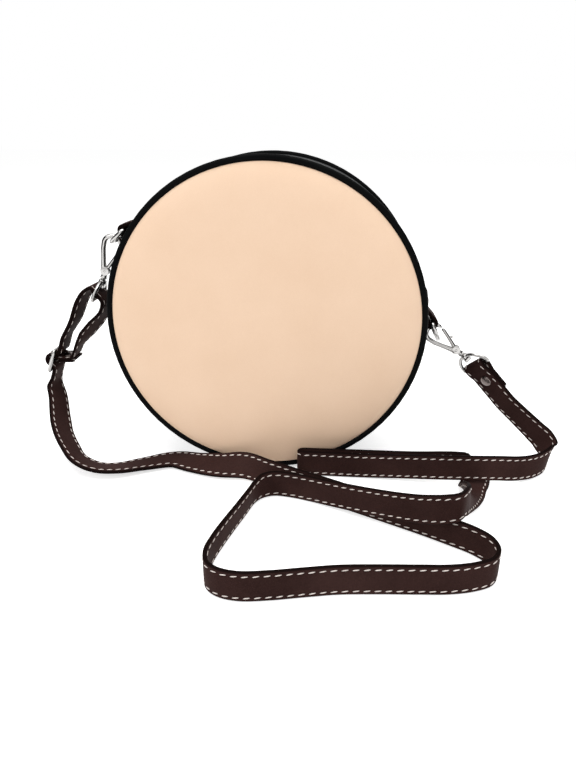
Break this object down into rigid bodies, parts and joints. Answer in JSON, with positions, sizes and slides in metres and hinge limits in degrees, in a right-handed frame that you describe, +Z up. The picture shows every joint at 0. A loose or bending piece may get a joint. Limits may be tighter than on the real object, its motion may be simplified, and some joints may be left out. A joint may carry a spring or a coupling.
{
  "type": "circle bag",
  "caption": "Round peach leather crossbody bag with near-black piping, a curved zip, side tabs with D-rings and a stitched dark brown strap laid in front of it.",
  "frame": {"origin": "on the floor under the middle of the bag's depth, below its centre", "axes": "X to the bag's right as seen from the front, Y to the back, Z up; the front faces -Y"},
  "size_m": [0.335, 0.1864, 0.1897],
  "materials": {
    "peach_leather": "smooth, fine grain, low sheen",
    "foam": "soft padding",
    "lining_cloth": "woven, matte",
    "piping_cord": "smooth, semi-gloss",
    "gusset_leather": "smooth, fine grain, low sheen",
    "zip_teeth": "moulded teeth on woven tape",
    "nickel": "polished nickel plate",
    "rivet_metal": "dark enamelled cap",
    "strap_leather": "smooth, satin, pale saddle stitching along both edges"
  },
  "bodies": {
    "bag": {"back_panel": "peach_leather", "front_panel": "peach_leather", "back_foam": "foam", "front_foam": "foam", "back_lining": "lining_cloth", "front_lining": "lining_cloth", "gusset_lining": "lining_cloth", "slip_pocket": "lining_cloth", "back_piping": "piping_cord", "front_piping": "piping_cord", "gusset_base": "gusset_leather", "zip_strip_back": "gusset_leather", "zip_chain_back": "zip_teeth", "zip_ends": "zip_teeth", "tab_rivets": "rivet_metal", "strap_rivet_right": "rivet_metal", "tab_left": "strap_leather", "tab_right": "strap_leather", "strap_end_right": "strap_leather", "strap_riser": "strap_leather", "strap_side_turn": "strap_leather", "strap_upper_run": "strap_leather", "strap_hairpin": "strap_leather", "strap_back_run": "strap_leather", "strap_underpass": "strap_leather", "strap_rise": "strap_leather", "strap_middle_run": "strap_leather", "strap_inner_corner": "strap_leather", "strap_left_strand": "strap_leather", "strap_left_corner": "strap_leather", "strap_front_band": "strap_leather", "strap_right_loop": "strap_leather", "strap_lower_run": "strap_leather", "strap_twist": "strap_leather", "strap_floor_curve": "strap_leather", "strap_drop": "strap_leather", "strap_band_up": "strap_leather", "strap_band_down": "strap_leather"},
    "mouth": {"mouth_panel": "peach_leather", "mouth_foam": "foam", "mouth_lining": "lining_cloth", "mouth_piping": "piping_cord", "zip_strip_front": "gusset_leather", "zip_chain_front": "zip_teeth"},
    "zip_slider": {"zip_slider": "nickel"},
    "zip_pull": {"zip_pull": "nickel"},
    "d_ring_left": {"d_ring_left": "nickel"},
    "d_ring_right": {"d_ring_right": "nickel"},
    "end_ring_left": {"end_ring_left": "nickel"},
    "clasp_left": {"clasp_left": "nickel"},
    "gate_left": {"gate_left": "nickel"},
    "end_ring_right": {"end_ring_right": "nickel"},
    "clasp_right": {"clasp_right": "nickel"},
    "gate_right": {"gate_right": "nickel"},
    "adjuster": {"adjuster_slider": "nickel", "strap_weave": "strap_leather", "strap_tail": "strap_leather", "strap_rivet_left": "rivet_metal"}
  },
  "joints": [
    {"name": "mouth_fold", "type": "hinge", "parent": "bag", "child": "mouth", "pos_m": [0.01781, -0.0325, 0.1566], "axis": [0.9613, 0, -0.2756], "range_deg": [0, 25]},
    {"name": "zip_travel", "type": "hinge", "parent": "bag", "child": "zip_slider", "pos_m": [0, 0, 0.0945], "axis": [0, 1, 0], "range_deg": [0, 110]},
    {"name": "zip_pull_lift", "type": "hinge", "parent": "zip_slider", "child": "zip_pull", "pos_m": [-0.06392, 0, 0.16506], "axis": [0, -1, 0], "range_deg": [0, 120]},
    {"name": "d_ring_left_swing", "type": "hinge", "parent": "bag", "child": "d_ring_left", "pos_m": [-0.08659, 0, 0.14551], "axis": [0, 1, 0], "range_deg": [-8, 0]},
    {"name": "d_ring_right_swing", "type": "hinge", "parent": "bag", "child": "d_ring_right", "pos_m": [0.10047, 0, 0.09187], "axis": [0, 1, 0], "range_deg": [-6, 0]},
    {"name": "end_ring_left_swing", "type": "hinge", "parent": "bag", "child": "end_ring_left", "pos_m": [-0.11063, 0, 0.10236], "axis": [0, -1, 0], "range_deg": [-1.2, 0.7]},
    {"name": "clasp_left_swivel", "type": "hinge", "parent": "end_ring_left", "child": "clasp_left", "pos_m": [-0.10399, 0, 0.11904], "axis": [0.3697, 0, 0.9292], "range_deg": [-5, 5]},
    {"name": "gate_left_open", "type": "hinge", "parent": "clasp_left", "child": "gate_left", "pos_m": [-0.10399, 0, 0.11904], "axis": [0, -1, 0], "range_deg": [0, 20], "stiffness_Nm_per_rad": 0.004, "springref_deg": -17.19},
    {"name": "end_ring_right_swing", "type": "hinge", "parent": "bag", "child": "end_ring_right", "pos_m": [0.13361, 0.00446, 0.05999], "axis": [0.4519, -0.6276, 0.6339], "range_deg": [-1, 1.5]},
    {"name": "clasp_right_swivel", "type": "hinge", "parent": "end_ring_right", "child": "clasp_right", "pos_m": [0.11926, 0.005, 0.07076], "axis": [-0.7996, 0.03, 0.5997], "range_deg": [-5, 5]},
    {"name": "gate_right_open", "type": "hinge", "parent": "clasp_right", "child": "gate_right", "pos_m": [0.11926, 0.005, 0.07076], "axis": [-0.024, -0.9996, 0.018], "range_deg": [0, 8], "stiffness_Nm_per_rad": 0.004, "springref_deg": -17.19},
    {"name": "adjuster_slide", "type": "slide", "parent": "bag", "child": "adjuster", "axis": [0.361, 0, 0.9326], "range_m": [-0.008, 0.008], "deforming": ["strap_drop", "strap_band_up", "strap_band_down"]}
  ]
}
